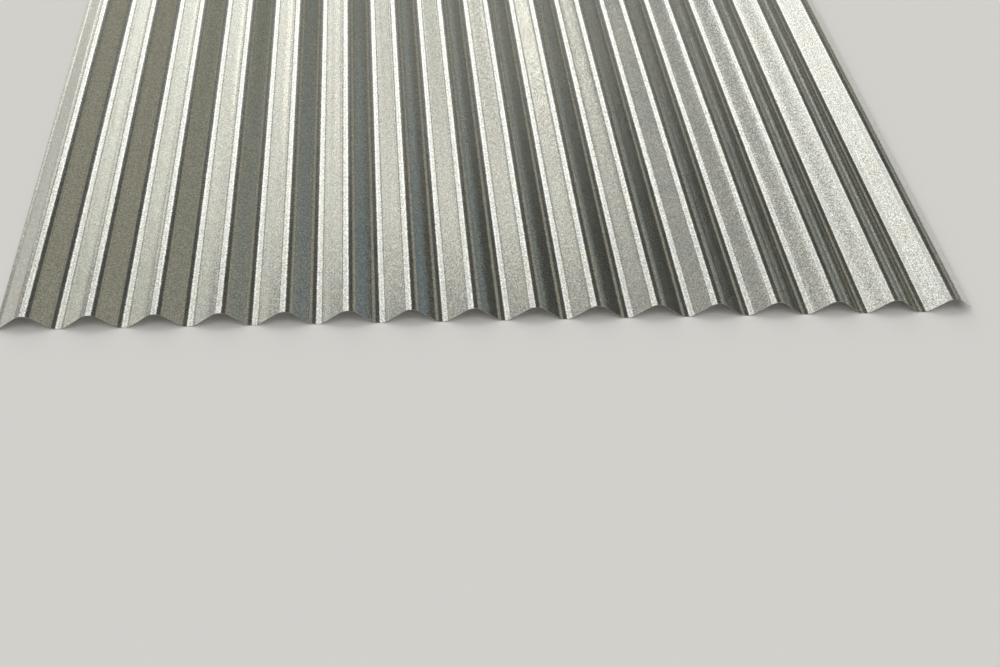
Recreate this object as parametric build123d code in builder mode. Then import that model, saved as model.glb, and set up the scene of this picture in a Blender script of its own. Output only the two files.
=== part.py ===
from build123d import *
from math import asin, atan2, cos, hypot
import os

# Corrugated metal sheet: one length of coated steel strip, roll-formed into rounded waves.
# Millimetres. The waves run along Y, X crosses them, and the sheet lies on its troughs at Z = 0.

# Driving dimensions
sheet_length = 2000.0  # along the waves, a stock length
wave_pitch = 66.7  # crest to crest, so 15 pitches cover 1 m
wave_depth = 18.0  # trough to crest, on the same face of the metal
crest_count = 16
inside_bend_radius = 14.0  # hollow side of each bend
metal_thickness = 0.5
left_lip = 30.0  # first crest to the left edge, which stops in the curve of a trough
right_lip = 21.5  # last crest to the right edge, which stops on the slope

# Bends of the underside: it is the hollow side of a crest and the full side of a trough
crest_radius = inside_bend_radius
trough_radius = inside_bend_radius + metal_thickness

# Slope of the straight flank that is tangent to both bends
half_pitch = wave_pitch / 2
bend_sum = crest_radius + trough_radius
bend_excess = bend_sum - wave_depth
flank_angle = asin(bend_sum / hypot(half_pitch, bend_excess)) - atan2(bend_excess, half_pitch)

# Heights of the corners where neighbouring flanks would meet without their bend
corner_reach = 1 / cos(flank_angle) - 1
crest_corner = wave_depth + crest_radius * corner_reach
trough_corner = -trough_radius * corner_reach

# Long edges of the sheet, with its width centred on X = 0
right_edge = (left_lip + (crest_count - 1) * wave_pitch + right_lip) / 2
left_edge = -right_edge
first_crest = left_edge + left_lip


def underside_corners():
    """Corners of the underside, from one wave before the first crest to one after the last."""
    corners = []
    for number in range(-1, crest_count + 1):
        crest = first_crest + number * wave_pitch
        corners.append((crest, crest_corner))
        corners.append((crest + half_pitch, trough_corner))
    return corners


def radii_at(corners):
    """Bend radius at each corner, apart from the two ends, which have no bend."""
    return [crest_radius if height > 0 else trough_radius for _, height in corners[1:-1]]


corners = underside_corners()

with BuildPart() as corrugated_sheet:
    with BuildSketch(Plane.XZ) as wave_section:
        with BuildLine() as metal_outline:
            FilletPolyline(*corners, radius=radii_at(corners))
            split(bisect_by=Plane.YZ.offset(left_edge), keep=Keep.TOP)
            split(bisect_by=Plane.YZ.offset(right_edge), keep=Keep.BOTTOM)
            offset(amount=metal_thickness, side=Side.LEFT, closed=True)
        make_face()
    extrude(amount=sheet_length / 2, both=True)

corrugated_sheet.part.label = "corrugated_sheet"

os.makedirs("parts", exist_ok=True)
export_step(corrugated_sheet.part, "parts/corrugated_sheet.step")
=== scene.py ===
import bpy
import math
from mathutils import Euler, Matrix, Vector


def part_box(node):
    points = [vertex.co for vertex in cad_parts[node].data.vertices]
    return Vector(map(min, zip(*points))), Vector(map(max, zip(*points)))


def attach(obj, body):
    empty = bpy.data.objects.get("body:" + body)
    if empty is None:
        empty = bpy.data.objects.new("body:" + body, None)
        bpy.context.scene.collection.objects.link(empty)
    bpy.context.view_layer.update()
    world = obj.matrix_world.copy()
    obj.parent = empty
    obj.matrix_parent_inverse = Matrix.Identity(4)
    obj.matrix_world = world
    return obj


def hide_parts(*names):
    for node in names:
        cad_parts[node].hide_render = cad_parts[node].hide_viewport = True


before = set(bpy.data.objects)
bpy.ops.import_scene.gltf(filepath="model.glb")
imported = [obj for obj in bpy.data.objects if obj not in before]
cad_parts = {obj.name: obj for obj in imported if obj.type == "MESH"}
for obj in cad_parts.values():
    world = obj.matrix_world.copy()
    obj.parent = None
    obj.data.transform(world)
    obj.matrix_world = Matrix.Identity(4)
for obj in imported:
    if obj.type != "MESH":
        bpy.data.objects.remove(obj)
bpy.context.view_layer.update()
sheetLow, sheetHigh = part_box("corrugated_sheet")
print("frame loaded")


# Fills sockets of a node with fixed values, or links them to outputs of other nodes
def fillSockets(tree, node, values):
    for name, value in values.items():
        if isinstance(value, bpy.types.NodeSocket):
            tree.links.new(value, node.inputs[name])
        else:
            node.inputs[name].default_value = value


def addNode(tree, kind, values=None, **settings):
    node = tree.nodes.new(kind)
    for name, value in settings.items():
        setattr(node, name, value)
    fillSockets(tree, node, values or {})
    return node


def addMath(tree, operation, *values):
    return addNode(tree, "ShaderNodeMath", dict(enumerate(values)), operation=operation).outputs[0]


def addVector(tree, operation, *values):
    return addNode(tree, "ShaderNodeVectorMath", dict(enumerate(values)), operation=operation).outputs[0]


def addScaled(tree, vector, scale):
    values = {0: vector, "Scale": scale}
    return addNode(tree, "ShaderNodeVectorMath", values, operation="SCALE").outputs[0]


# Turns a span of values into another, in a straight or a smooth course
def addRange(tree, value, span, low, high, course="LINEAR"):
    start, end = span
    values = {"Value": value, "From Min": start, "From Max": end, "To Min": low, "To Max": high}
    return addNode(tree, "ShaderNodeMapRange", values, interpolation_type=course).outputs["Result"]


# Passes from one colour to another, which are sockets 6 and 7 of a Mix node, and output 2
def addColorMix(tree, factor, first, second):
    values = {"Factor": factor, 6: first, 7: second}
    return addNode(tree, "ShaderNodeMix", values, data_type="RGBA").outputs[2]


def newMaterial(name):
    material = bpy.data.materials.new(name)
    material.use_nodes = True
    return material


# Sheet, in metres: the same section as the CAD sheet, with finer bends

sheetShape = {
    "pitch": 0.0667,  # crest to crest
    "depth": 0.018,  # trough to crest on one face
    "bendRadius": 0.01425,  # to the middle of the metal
    "thickness": 0.0005,
    "crests": 16,
    "leftLip": 0.030,  # first crest to the left edge
    "rightLip": 0.0215,  # last crest to the right edge
    "bendFacets": 7,  # in each half bend
    "flankFacets": 4,
    "lengthRows": 60,
    "lipClearance": 0.0002,  # no point comes nearer to a lip's edge
    "sharpAngle": 40,  # degrees, so only the cut edges stay sharp
}


# Slope of the flank, and lengths along the metal of half a bend, a flank and half a wave
def waveMeasures(shape):
    halfPitch = shape["pitch"] / 2
    radius = shape["bendRadius"]
    excess = 2 * radius - shape["depth"]
    slope = math.asin(2 * radius / math.hypot(halfPitch, excess)) - math.atan2(excess, halfPitch)
    bend = radius * slope
    flank = (shape["depth"] - 2 * radius * (1 - math.cos(slope))) / math.sin(slope)
    return {"slope": slope, "bend": bend, "flank": flank, "halfWave": 2 * bend + flank}


# Place across, height and downhill slope of the metal, at a distance along it from the first crest
def waveAt(along, shape):
    wave = waveMeasures(shape)
    radius = shape["bendRadius"]
    number = math.floor(along / wave["halfWave"])
    rest = along - number * wave["halfWave"]
    way = min(rest, wave["halfWave"] - rest)
    if way < wave["bend"]:
        angle = way / radius
        straight = 0
    else:
        angle = wave["slope"]
        straight = way - wave["bend"]
    across = radius * math.sin(angle) + straight * math.cos(angle)
    drop = radius * (1 - math.cos(angle)) + straight * math.sin(angle)
    if rest > wave["halfWave"] / 2:
        across = shape["pitch"] / 2 - across
        drop = shape["depth"] - drop
    if number % 2:
        drop = shape["depth"] - drop
        angle = -angle
    return number * shape["pitch"] / 2 + across, shape["depth"] - drop, angle


# Distance along the metal at which the wave reaches a place across the sheet, found by halving
def alongAt(across, shape):
    halfWave = waveMeasures(shape)["halfWave"]
    low = across / (shape["pitch"] / 2) * halfWave - halfWave
    high = low + 2 * halfWave
    for halving in range(50):
        middle = (low + high) / 2
        if waveAt(middle, shape)[0] < across:
            low = middle
        else:
            high = middle
    return (low + high) / 2


# Distances along the metal where the section gets a point
def sectionStations(shape):
    wave = waveMeasures(shape)
    left = alongAt(-shape["leftLip"], shape)
    right = alongAt((shape["crests"] - 1) * shape["pitch"] + shape["rightLip"], shape)
    bends = shape["bendFacets"]
    flanks = shape["flankFacets"]
    crestSteps = [wave["bend"] * n / bends for n in range(bends)]
    flankSteps = [wave["bend"] + wave["flank"] * n / flanks for n in range(flanks)]
    troughSteps = [wave["bend"] + wave["flank"] + step for step in crestSteps]
    stations = []
    for number in range(-1, 2 * shape["crests"]):
        stations += [number * wave["halfWave"] + step for step in crestSteps + flankSteps + troughSteps]
    low = left + shape["lipClearance"]
    high = right - shape["lipClearance"]
    return [left] + [along for along in stations if low < along < high] + [right]


# Points of the upper face and then the lower one, row by row, and their places on the flat strip
def sheetPoints(shape, stations, rows):
    half = shape["thickness"] / 2
    width = shape["leftLip"] + (shape["crests"] - 1) * shape["pitch"] + shape["rightLip"]
    firstCrest = shape["leftLip"] - width / 2
    section = [waveAt(along, shape) for along in stations]
    points = []
    stripPlaces = []
    for side in (1, -1):
        for y in rows:
            for along, (across, height, angle) in zip(stations, section):
                x = firstCrest + across + side * half * math.sin(angle)
                z = half + height + side * half * math.cos(angle)
                points.append((x, y, z))
                stripPlaces.append((along, y))
    return points, stripPlaces


# Faces of the two coated sides, and of the cut edges round them
def sheetFaces(wide, deep):
    layer = wide * deep
    coated = []
    for row in range(deep - 1):
        for column in range(wide - 1):
            a = row * wide + column
            b = a + layer
            coated.append((a, a + 1, a + wide + 1, a + wide))
            coated.append((b, b + wide, b + wide + 1, b + 1))
    cut = []
    for near in range(wide - 1):
        far = (deep - 1) * wide + near
        cut.append((near, near + layer, near + layer + 1, near + 1))
        cut.append((far, far + 1, far + 1 + layer, far + layer))
    for row in range(deep - 1):
        left = row * wide
        right = left + wide - 1
        cut.append((left, left + wide, left + wide + layer, left + layer))
        cut.append((right, right + layer, right + layer + wide, right + wide))
    return coated, cut


def makeSheet(shape):
    stations = sectionStations(shape)
    length = sheetHigh.y - sheetLow.y
    rows = [sheetLow.y + length * n / shape["lengthRows"] for n in range(shape["lengthRows"] + 1)]
    points, stripPlaces = sheetPoints(shape, stations, rows)
    coated, cut = sheetFaces(len(stations), len(rows))
    mesh = bpy.data.meshes.new("corrugatedSheet")
    mesh.from_pydata(points, [], coated + cut)
    mesh.update()
    for polygon in mesh.polygons[len(coated):]:
        polygon.material_index = 1  # cut steel
    flatMap = mesh.uv_layers.new(name="alongMetal")
    for loop in mesh.loops:
        flatMap.data[loop.index].uv = stripPlaces[loop.vertex_index]
    upperFace = mesh.attributes.new("upperFace", "FLOAT", "POINT")
    for number, spot in enumerate(upperFace.data):
        spot.value = 1.0 if number < len(points) / 2 else 0.0
    mesh.shade_smooth()
    mesh.set_sharp_from_angle(angle=math.radians(shape["sharpAngle"]))
    sheet = bpy.data.objects.new("corrugatedSheet", mesh)
    bpy.context.scene.collection.objects.link(sheet)
    return sheet


sheet = makeSheet(sheetShape)
print("sheet made with", len(sheet.data.polygons), "faces")


# Grain of the coating and of the cut edge: each crystal has its own shade and leans its own way
def makeGrainGroup():
    group = bpy.data.node_groups.new("crystalGrain", "ShaderNodeTree")
    sockets = (
        ("INPUT", "Vector", "Vector"),
        ("INPUT", "Normal", "Vector"),
        ("INPUT", "Size", "Float"),
        ("INPUT", "Shade", "Float"),
        ("INPUT", "Lean", "Float"),
        ("OUTPUT", "Shade", "Float"),
        ("OUTPUT", "Normal", "Vector"),
    )
    for way, name, kind in sockets:
        group.interface.new_socket(name=name, in_out=way, socket_type="NodeSocket" + kind)
    given = addNode(group, "NodeGroupInput").outputs
    scale = addMath(group, "DIVIDE", 1.0, given["Size"])
    crystals = addNode(group, "ShaderNodeTexVoronoi", {"Vector": given["Vector"], "Scale": scale})
    chance = crystals.outputs["Color"]  # another colour for each crystal
    brightness = addNode(group, "ShaderNodeSeparateColor", {0: chance}).outputs["Blue"]
    centred = addMath(group, "MULTIPLY_ADD", brightness, 2.0, -1.0)  # from -1 to 1
    shade = addMath(group, "MULTIPLY_ADD", centred, given["Shade"], 1.0)
    lean = addVector(group, "SUBTRACT", chance, (0.5, 0.5, 0.5))
    leaning = addVector(group, "ADD", given["Normal"], addScaled(group, lean, given["Lean"]))
    normal = addVector(group, "NORMALIZE", leaning)
    addNode(group, "NodeGroupOutput", {"Shade": shade, "Normal": normal})
    return group


crystalGrain = makeGrainGroup()


def addGrain(tree, place, normal, finish):
    values = {
        "Vector": place,
        "Normal": normal,
        "Size": finish["grainSize"],
        "Shade": finish["grainShade"],
        "Lean": finish["grainLean"],
    }
    return addNode(tree, "ShaderNodeGroup", values, node_tree=crystalGrain).outputs


# Place on the flat strip before it was rolled: across it, along it, and a step of 1 from face to face
def stripPlace(tree):
    flat = addNode(tree, "ShaderNodeUVMap", uv_map="alongMetal").outputs["UV"]
    upper = addNode(tree, "ShaderNodeAttribute", attribute_name="upperFace").outputs["Fac"]
    place = addVector(tree, "ADD", flat, addScaled(tree, (0, 0, 1), upper))
    return {"flat": flat, "upper": upper, "place": place}


# Coating

steelFinish = {
    "color": (0.69, 0.69, 0.645),
    "roughness": 0.14,
    "grainSize": 0.0012,
    "grainShade": 0.32,  # how much lighter and darker the crystals are
    "grainLean": 0.045,  # how far they lean, as a slope
    "streakWidth": 0.0016,  # marks of the forming rolls, along the waves
    "streakLength": 0.45,
    "streakDetail": 3.0,
    "streakShade": 0.05,
    "streakHeight": 0.000004,
    "bendMarkWidth": 0.0009,  # line where a bend ends: a shallow groove in the relief, and painted shade that darkens the colour along it
    # The crest and trough mark shades are painted shade: a dark line along each bend end standing in for a
    # dark reflection
    "crestMarkPaintedShade": 0.15,
    "troughMarkPaintedShade": 0.1,
    "bendMarkDepth": 0.000006,
    "cloudWidth": 0.025,  # uneven coating
    "cloudLength": 0.05,
    "cloudDetail": 2.0,
    "cloudWarm": (1.012, 1.0, 0.985, 1),
    "cloudCool": (0.985, 1.0, 1.012, 1),
    "cloudRoughness": 0.02,
    "waverWidth": 0.04,  # the flanks aren't quite flat
    "waverLength": 0.16,
    "waverDetail": 1.0,
    "waverHeight": 0.00005,
}
noiseSpan = (0.3, 0.7)  # nearly all of a noise lies between these
middleSpan = (0.35, 0.65)


# Noise in patches as wide and long as the finish says
def addNoise(tree, place, finish, name):
    scale = (1 / finish[name + "Width"], 1 / finish[name + "Length"], 1)
    stretched = addNode(tree, "ShaderNodeMapping", {"Vector": place, "Scale": scale}).outputs[0]
    values = {"Vector": stretched, "Scale": 1.0, "Detail": finish[name + "Detail"], "Roughness": 0.6}
    return addNode(tree, "ShaderNodeTexNoise", values).outputs["Fac"]


def addBump(tree, height, distance, under=None):
    values = {"Height": height, "Strength": 1.0, "Distance": distance}
    if under:
        values["Normal"] = under
    return addNode(tree, "ShaderNodeBump", values).outputs["Normal"]


# 1 on a line at a distance from the crest, falling to 0 on both sides of it
def addMark(tree, fromCrest, distance, width):
    off = addMath(tree, "ABSOLUTE", addMath(tree, "SUBTRACT", fromCrest, distance))
    return addRange(tree, off, (0, width), 1, 0, "SMOOTHSTEP")


def makeCoatedSteel(finish, shape):
    material = newMaterial("coatedSteel")
    tree = material.node_tree
    strip = stripPlace(tree)
    place = strip["place"]
    streaks = addNoise(tree, place, finish, "streak")
    clouds = addNoise(tree, place, finish, "cloud")
    waver = addNoise(tree, place, finish, "waver")

    # Lines where the bends of crests and troughs end
    wave = waveMeasures(shape)
    across = addNode(tree, "ShaderNodeSeparateXYZ", {"Vector": strip["flat"]}).outputs["X"]
    fromCrest = addMath(tree, "PINGPONG", across, wave["halfWave"])
    crestMark = addMark(tree, fromCrest, wave["bend"], finish["bendMarkWidth"])
    troughMark = addMark(tree, fromCrest, wave["halfWave"] - wave["bend"], finish["bendMarkWidth"])

    # Relief, with the crystals on top
    normal = addBump(tree, waver, finish["waverHeight"])
    normal = addBump(tree, streaks, finish["streakHeight"], normal)
    normal = addBump(tree, addMath(tree, "ADD", crestMark, troughMark), -finish["bendMarkDepth"], normal)
    grain = addGrain(tree, place, normal, finish)

    # Colour
    # Painted shade: the colour darkens along the ends of the bends, standing in for a dark reflection line
    crestPaintedShade = addRange(tree, crestMark, (0, 1), 1, 1 - finish["crestMarkPaintedShade"])
    troughPaintedShade = addRange(tree, troughMark, (0, 1), 1, 1 - finish["troughMarkPaintedShade"])
    paintedMarkShade = addMath(tree, "MULTIPLY", crestPaintedShade, troughPaintedShade)
    streakShade = addRange(tree, streaks, noiseSpan, 1 - finish["streakShade"], 1 + finish["streakShade"])
    # Crystal tone and streaks are the coating's own; the mark factor in it is painted shade
    shade = addMath(tree, "MULTIPLY", grain["Shade"], addMath(tree, "MULTIPLY", paintedMarkShade, streakShade))
    cloud = addRange(tree, clouds, middleSpan, 0, 1)
    tint = addColorMix(tree, cloud, finish["cloudWarm"], finish["cloudCool"])
    color = addScaled(tree, addVector(tree, "MULTIPLY", tint, finish["color"]), shade)

    rough = finish["roughness"] + finish["cloudRoughness"]
    smooth = finish["roughness"] - finish["cloudRoughness"]
    fillSockets(tree, tree.nodes["Principled BSDF"], {
        "Metallic": 1.0,
        "Base Color": color,
        "Roughness": addRange(tree, clouds, noiseSpan, rough, smooth),
        "Normal": grain["Normal"],
    })
    return material


# Cut edge: smooth where the shear began, and torn below

cutFinish = {
    "color": (0.50, 0.49, 0.47),
    "roughness": 0.34,
    "tornRoughness": 0.54,
    "tornShade": 0.6,
    "brightPart": 0.35,  # share of the thickness that the shear leaves smooth
    "tornBlend": 0.1,  # share in which one passes into the other
    "grainSize": 0.0004,
    "grainShade": 0.3,
    "grainLean": 0.3,
    "grainDepth": 0.0004,  # distance that the grain's place goes from face to face
}


def makeCutSteel(finish):
    material = newMaterial("cutSteel")
    tree = material.node_tree
    strip = stripPlace(tree)
    values = {"Vector": strip["place"], "Scale": (1, 1, finish["grainDepth"])}
    place = addNode(tree, "ShaderNodeMapping", values).outputs[0]
    surface = addNode(tree, "ShaderNodeNewGeometry")
    grain = addGrain(tree, place, surface.outputs["Normal"], finish)
    brightStart = 1 - finish["brightPart"]
    span = (brightStart - finish["tornBlend"], brightStart)
    torn = addRange(tree, strip["upper"], span, finish["tornShade"], 1)
    shade = addMath(tree, "MULTIPLY", grain["Shade"], torn)
    span = (finish["tornShade"], 1)
    fillSockets(tree, tree.nodes["Principled BSDF"], {
        "Metallic": 1.0,
        "Base Color": addScaled(tree, finish["color"], shade),
        "Roughness": addRange(tree, torn, span, finish["tornRoughness"], finish["roughness"]),
        "Normal": grain["Normal"],
    })
    return material


sheet.data.materials.append(makeCoatedSteel(steelFinish, sheetShape))
sheet.data.materials.append(makeCutSteel(cutFinish))
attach(sheet, "root")
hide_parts("corrugated_sheet")
print("steel made")


# Floor

floorLook = {
    "size": 600.0,  # metres, so its edge is never seen
    "color": (0.74, 0.73, 0.71, 1),
    "roughness": 0.85,
    "specular": 0.0,
}


def makeFloor(look):
    half = look["size"] / 2
    corners = [(-half, -half, 0), (half, -half, 0), (half, half, 0), (-half, half, 0)]
    mesh = bpy.data.meshes.new("floor")
    mesh.from_pydata(corners, [], [(0, 1, 2, 3)])
    floor = bpy.data.objects.new("floor", mesh)
    bpy.context.scene.collection.objects.link(floor)
    material = newMaterial("paleFloor")
    fillSockets(material.node_tree, material.node_tree.nodes["Principled BSDF"], {
        "Base Color": look["color"],
        "Roughness": look["roughness"],
        "Specular IOR Level": look["specular"],
    })
    mesh.materials.append(material)


makeFloor(floorLook)
print("floor made")


# Studio light. The world is a pale backdrop to the camera and near the horizon, and higher up the
# metal mirrors rings of light. A ring runs over the sheet from side to side. Its degrees go from 0 at
# the right horizon, over 90 at the zenith, to 180 at the left, and the other way for the near end.
# How far a direction leans towards the ends of the waves, from 0 to 1, says which ring it meets.

skyLight = {
    "backdrop": (0.644, 0.632, 0.599, 1),
    "horizon": (0.03, 0.012),  # heights, as a sine, between which the backdrop comes in
    "crossToSlant": (0.04, 0.4),  # leans between which one ring passes into the next
    "slantToEnd": (0.42, 0.68),
    "endToFar": (0.765, 0.87),
    "crossRing": [
        (4, (0.6, 0.595, 0.585, 1)),
        (18, (0.42, 0.417, 0.409, 1)),
        (32, (1.25, 1.24, 1.219, 1)),
        (48, (1.3, 1.29, 1.268, 1)),
        (62, (0.36, 0.357, 0.351, 1)),
        (118, (0.36, 0.357, 0.351, 1)),
        (132, (1.3, 1.29, 1.268, 1)),
        (148, (1.25, 1.24, 1.219, 1)),
        (162, (0.42, 0.417, 0.409, 1)),
        (176, (0.6, 0.595, 0.585, 1)),
    ],
    "slantRing": [
        (4, (0.6, 0.595, 0.585, 1)),
        (20, (0.5, 0.496, 0.487, 1)),
        (36, (1.5, 1.488, 1.462, 1)),
        (55, (1.5, 1.488, 1.462, 1)),
        (70, (1.35, 1.339, 1.316, 1)),
        (110, (1.35, 1.339, 1.316, 1)),
        (125, (1.5, 1.488, 1.462, 1)),
        (144, (1.5, 1.488, 1.462, 1)),
        (160, (0.5, 0.496, 0.487, 1)),
        (176, (0.6, 0.595, 0.585, 1)),
    ],
    "endRing": [
        (8, (0.21, 0.24, 0.23, 1)),
        (13, (0.16, 0.2, 0.22, 1)),
        (17, (0.155, 0.195, 0.22, 1)),
        (21, (0.22, 0.24, 0.23, 1)),
        (25, (0.25, 0.262, 0.24, 1)),
        (29, (0.315, 0.305, 0.25, 1)),
        (46, (0.315, 0.305, 0.25, 1)),
        (56, (0.07, 0.071, 0.069, 1)),
        (86, (0.07, 0.071, 0.069, 1)),
        (98, (0.38, 0.38, 0.36, 1)),
    ],
    "farRing": [
        (9, (0.38, 0.385, 0.35, 1)),
        (13, (0.31, 0.325, 0.3, 1)),
        (17, (0.21, 0.235, 0.22, 1)),
        (25, (0.23, 0.238, 0.205, 1)),
        (30, (0.32, 0.31, 0.25, 1)),
        (36, (0.35, 0.34, 0.28, 1)),
        (46, (0.33, 0.32, 0.265, 1)),
        (56, (0.25, 0.252, 0.245, 1)),
        (65, (0.25, 0.252, 0.245, 1)),
        (72, (0.36, 0.36, 0.345, 1)),
        (86, (0.36, 0.36, 0.345, 1)),
        (98, (0.4, 0.4, 0.38, 1)),
    ],
}


# Colours by degrees round the sheet
def addRing(tree, around, stops):
    ramp = addNode(tree, "ShaderNodeValToRGB", {"Fac": addMath(tree, "DIVIDE", around, 180)})
    elements = ramp.color_ramp.elements
    while len(elements) < len(stops):
        elements.new(0.5)
    for element, (degrees, color) in zip(elements, stops):
        element.position = degrees / 180
        element.color = color
    return ramp.outputs["Color"]


# Passes smoothly from one colour to another over a span of values
def addPassing(tree, value, span, first, second):
    return addColorMix(tree, addRange(tree, value, span, 0, 1, "SMOOTHSTEP"), first, second)


def makeSky(light):
    world = bpy.data.worlds.new("studio")
    bpy.context.scene.world = world
    world.use_nodes = True
    tree = world.node_tree
    direction = addNode(tree, "ShaderNodeTexCoord").outputs["Generated"]
    across, along, height = addNode(tree, "ShaderNodeSeparateXYZ", {"Vector": direction}).outputs
    side = addMath(tree, "MULTIPLY", across, addMath(tree, "SIGN", along))
    around = addMath(tree, "DEGREES", addMath(tree, "ARCTAN2", height, side))
    lean = addMath(tree, "ABSOLUTE", along)

    cross = addRing(tree, around, light["crossRing"])
    slant = addRing(tree, around, light["slantRing"])
    end = addRing(tree, around, light["endRing"])
    far = addRing(tree, around, light["farRing"])
    sides = addPassing(tree, lean, light["crossToSlant"], cross, slant)
    ends = addPassing(tree, lean, light["endToFar"], end, far)
    rings = addPassing(tree, lean, light["slantToEnd"], sides, ends)

    nearHorizon = addRange(tree, height, light["horizon"], 0, 1)
    cameraRay = addNode(tree, "ShaderNodeLightPath").outputs["Is Camera Ray"]
    plain = addMath(tree, "MAXIMUM", cameraRay, nearHorizon)
    sky = addPassing(tree, plain, (0, 1), rings, light["backdrop"])
    fillSockets(tree, tree.nodes["Background"], {"Color": sky})


makeSky(skyLight)


# Soft panels beyond both ends of the sheet, in degrees: around is counted as on the rings, and away
# from the line of the waves. Width goes around, and height goes away.

coolWhite = (0.995, 1.0, 0.985)
creamWhite = (1.0, 0.98, 0.9)
warmWhite = (1.0, 0.97, 0.9)
warmerWhite = (1.0, 0.97, 0.88)
panelDistance = 400.0  # metres, past the floor's edge
panels = {
    "mainPanel": dict(around=99.75, away=25.5, width=11, height=19, level=1.3, color=coolWhite),
    "mainPanelTop": dict(around=93.5, away=37.25, width=7.87, height=4.5, level=1.25, color=coolWhite),
    "mainPanelTopLeft": dict(around=106.25, away=37.25, width=7.57, height=4.5, level=0.9, color=coolWhite),
    "mainPanelFar": dict(around=93.5, away=44.75, width=9.15, height=10.5, level=0.82, color=coolWhite),
    "mainPanelFarLeft": dict(around=106.25, away=44.75, width=8.8, height=10.5, level=0.48, color=coolWhite),
    "leftPanel": dict(around=119.75, away=26.5, width=6.47, height=17, level=1.25, color=coolWhite),
    "leftPanelTop": dict(around=119.75, away=37.25, width=8.78, height=4.5, level=0.85, color=coolWhite),
    "leftPanelFar": dict(around=119.75, away=44.75, width=10.2, height=10.5, level=0.5, color=coolWhite),
    "leftPanelEdge": dict(around=129, away=34, width=2.24, height=32, level=1.1, color=coolWhite),
    "leftPanelRim": dict(around=132.5, away=34, width=1.68, height=32, level=0.6, color=coolWhite),
    "leftPanelSide": dict(around=135.5, away=34, width=1.68, height=32, level=0.15, color=coolWhite),
    "lowPanelRight": dict(around=149.5, away=28.75, width=1.92, height=11.5, level=1.6, color=creamWhite),
    "lowPanel": dict(around=158.5, away=28.75, width=6.73, height=11.5, level=0.35, color=warmerWhite),
    "lowPanelLeft": dict(around=173.25, away=28.75, width=7.46, height=11.5, level=1.2, color=warmerWhite),
    "lowPanelSide": dict(around=160, away=37.75, width=17.1, height=6.5, level=0.5, color=warmWhite),
}


def makePanel(name, panel, turn):
    around = math.radians(panel["around"])
    away = math.radians(panel["away"])
    widthWay = Vector((-math.sin(around), 0, math.cos(around)))
    rise = math.cos(away)
    heightWay = Vector((math.cos(around) * rise, -math.sin(away), math.sin(around) * rise))
    outWay = widthWay.cross(heightWay)
    data = bpy.data.lights.new(name, "AREA")
    data.shape = "RECTANGLE"
    data.size = 2 * panelDistance * math.tan(math.radians(panel["width"] / 2))
    data.size_y = 2 * panelDistance * math.tan(math.radians(panel["height"] / 2))
    data.energy = panel["level"] * math.pi * data.size * data.size_y
    data.color = panel["color"]
    lamp = bpy.data.objects.new(name, data)
    bpy.context.scene.collection.objects.link(lamp)
    facing = Matrix((widthWay, heightWay, outWay)).transposed().to_4x4()
    place = Matrix.Translation(outWay * panelDistance) @ facing
    lamp.matrix_world = Matrix.Rotation(math.radians(turn), 4, "Z") @ place
    lamp.visible_camera = False


for name, panel in panels.items():
    makePanel(name + "Ahead", panel, 0)
    makePanel(name + "Behind", panel, 180)
print("light made")


# Camera

cameraPlace = {
    "position": (-0.1401, -2.021, 0.9437),
    "heading": -7.825,  # degrees, negative turns right
    "tiltDown": 43.05,
    "roll": 4.17,
    "lens": 46.81,  # mm
    "sensorWidth": 36,
}


def makeCamera(place):
    data = bpy.data.cameras.new("photoCamera")
    data.lens = place["lens"]
    data.sensor_width = place["sensorWidth"]
    camera = bpy.data.objects.new("photoCamera", data)
    bpy.context.scene.collection.objects.link(camera)
    tilt = math.radians(90 - place["tiltDown"])
    aim = Euler((tilt, 0, math.radians(place["heading"])), "XYZ").to_matrix()
    turn = aim @ Matrix.Rotation(math.radians(place["roll"]), 3, "Z")
    camera.matrix_world = Matrix.Translation(Vector(place["position"])) @ turn.to_4x4()
    bpy.context.scene.camera = camera


makeCamera(cameraPlace)
bpy.context.scene.view_settings.view_transform = "Standard"
print("camera made")
